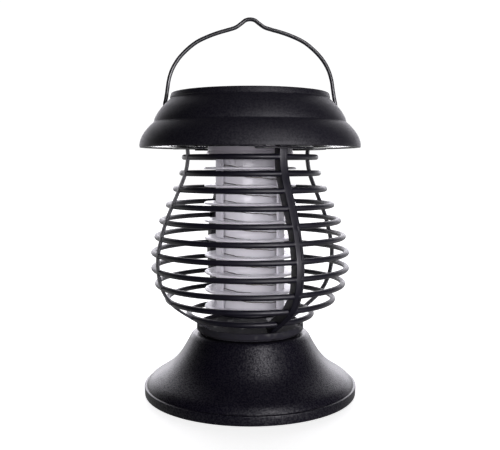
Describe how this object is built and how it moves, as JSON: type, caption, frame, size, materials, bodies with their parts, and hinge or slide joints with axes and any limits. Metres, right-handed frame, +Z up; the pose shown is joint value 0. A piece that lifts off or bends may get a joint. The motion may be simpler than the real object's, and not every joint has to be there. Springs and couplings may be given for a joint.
{
  "type": "electric bug zapper",
  "caption": "Lantern-shaped solar bug zapper: bell stand, ringed cage, hanging electric core under a two-tier hat, and a folding wire bail.",
  "frame": {"origin": "centre of the underside, on the surface that the rubber feet stand on", "axes": "+Z up, front is -Y, the bail pivots about X"},
  "size_m": [0.1312, 0.1312, 0.2252],
  "materials": {
    "black_plastic": "fine moulded grain, semi-matt",
    "cage_plastic": "smooth satin moulding",
    "frosted_plastic": "frosted translucent white",
    "white_plastic": "white diffuser plastic",
    "bail_wire": "black coated steel wire",
    "grid_wire": "bare drawn wire",
    "screw_steel": "zinc plated",
    "rubber": "matt rubber",
    "solar_cell": "silicon cells under clear resin",
    "board": "green solder mask",
    "battery_wrap": "shrink-wrapped cell",
    "coil_varnish": "varnished winding"
  },
  "bodies": {
    "stand": {"stand_shell": "black_plastic", "stand_cover": "black_plastic", "stand_screw_1": "screw_steel", "stand_screw_2": "screw_steel", "stand_screw_3": "screw_steel", "rubber_foot_1": "rubber", "rubber_foot_2": "rubber", "rubber_foot_3": "rubber", "rubber_foot_4": "rubber"},
    "cage": {"catch_tray": "cage_plastic", "cage_ring_01": "cage_plastic", "cage_ring_02": "cage_plastic", "cage_ring_03": "cage_plastic", "cage_ring_04": "cage_plastic", "cage_ring_05": "cage_plastic", "cage_ring_06": "cage_plastic", "cage_ring_07": "cage_plastic", "cage_ring_08": "cage_plastic", "cage_ring_09": "cage_plastic", "cage_ring_10": "cage_plastic", "cage_ring_11": "cage_plastic", "cage_rib_1": "cage_plastic", "cage_rib_2": "cage_plastic", "cage_rib_3": "cage_plastic", "cage_rib_4": "cage_plastic"},
    "head": {"hat_shell": "black_plastic", "hat_floor": "black_plastic", "panel_bezel": "black_plastic", "solar_panel": "solar_cell", "bail_lug_left": "black_plastic", "bail_lug_right": "black_plastic", "hat_screw_1": "screw_steel", "hat_screw_2": "screw_steel", "hat_screw_3": "screw_steel", "hat_screw_4": "screw_steel", "battery_holder": "black_plastic", "battery_cell": "battery_wrap", "circuit_board": "board", "hv_transformer": "coil_varnish", "hv_capacitor": "coil_varnish", "power_switch": "black_plastic", "core_frame": "frosted_plastic", "core_flange_1": "frosted_plastic", "core_flange_2": "frosted_plastic", "core_flange_3": "frosted_plastic", "core_flange_4": "frosted_plastic", "core_flange_5": "frosted_plastic", "core_flange_6": "frosted_plastic", "core_flange_7": "frosted_plastic", "core_flange_8": "frosted_plastic", "core_flange_9": "frosted_plastic", "diffuser_tube": "white_plastic", "grid_wire_live": "grid_wire", "grid_wire_ground": "grid_wire", "core_top_cap": "frosted_plastic", "core_base": "cage_plastic", "led_board": "white_plastic", "led_strip": "white_plastic"},
    "bail": {"bail": "bail_wire"},
    "button": {"power_button": "rubber"}
  },
  "joints": [
    {"name": "cage_lift", "type": "slide", "parent": "stand", "child": "cage", "axis": [0, 0, 1], "range_m": [0, 0.012]},
    {"name": "head_lift", "type": "slide", "parent": "cage", "child": "head", "axis": [0, 0, 1], "range_m": [0, 0.105]},
    {"name": "bail_swing", "type": "hinge", "parent": "head", "child": "bail", "pos_m": [0, 0, 0.172], "axis": [1, 0, 0], "range_deg": [-68, 68]},
    {"name": "button_press", "type": "slide", "parent": "head", "child": "button", "axis": [0, 0, 1], "range_m": [0, 0.0015], "stiffness_N_per_m": 300}
  ]
}
